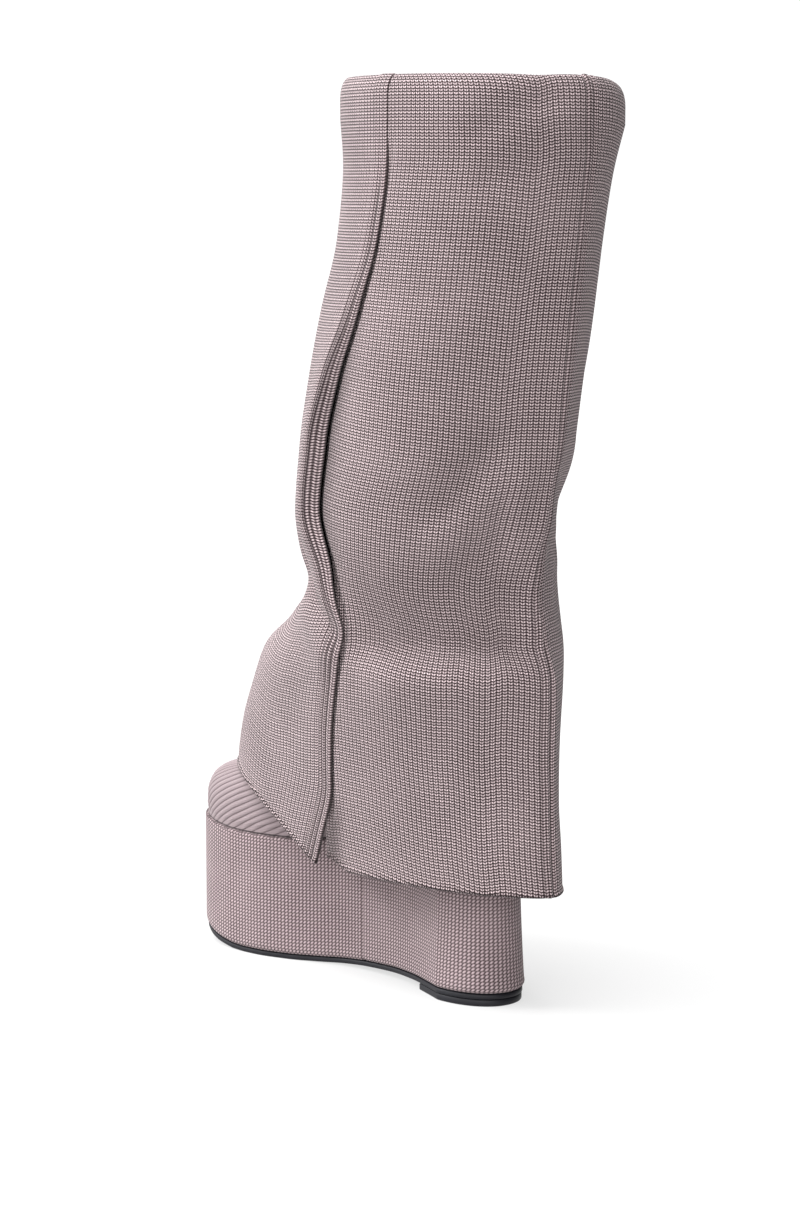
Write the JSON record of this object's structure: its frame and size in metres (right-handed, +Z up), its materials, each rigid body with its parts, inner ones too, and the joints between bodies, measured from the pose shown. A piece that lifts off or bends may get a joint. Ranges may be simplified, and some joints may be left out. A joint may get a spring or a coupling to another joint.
{
  "type": "flatform boot",
  "caption": "Tall right boot of chunky knit on a high knit-wrapped flatform, with a wide fold-over cuff that hangs outside the shaft to the sole and is slit at both sides.",
  "frame": {"origin": "middle of the flat underside of the heel lift, on the floor", "axes": "+Z up the shaft, -Y towards the toe, +X to the medial side of this right boot"},
  "size_m": [0.1512, 0.3357, 0.5572],
  "materials": {
    "outsole_rubber": "satin",
    "lift_rubber": "satin",
    "wrap_knit": "matt",
    "insole_lining": "matt",
    "rib_knit": "matt",
    "cuff_knit": "matt"
  },
  "bodies": {
    "root": {"outsole": "outsole_rubber", "heel_lift": "lift_rubber", "platform": "wrap_knit", "insole": "insole_lining", "upper": "rib_knit", "cuff": "cuff_knit"}
  },
  "joints": []
}
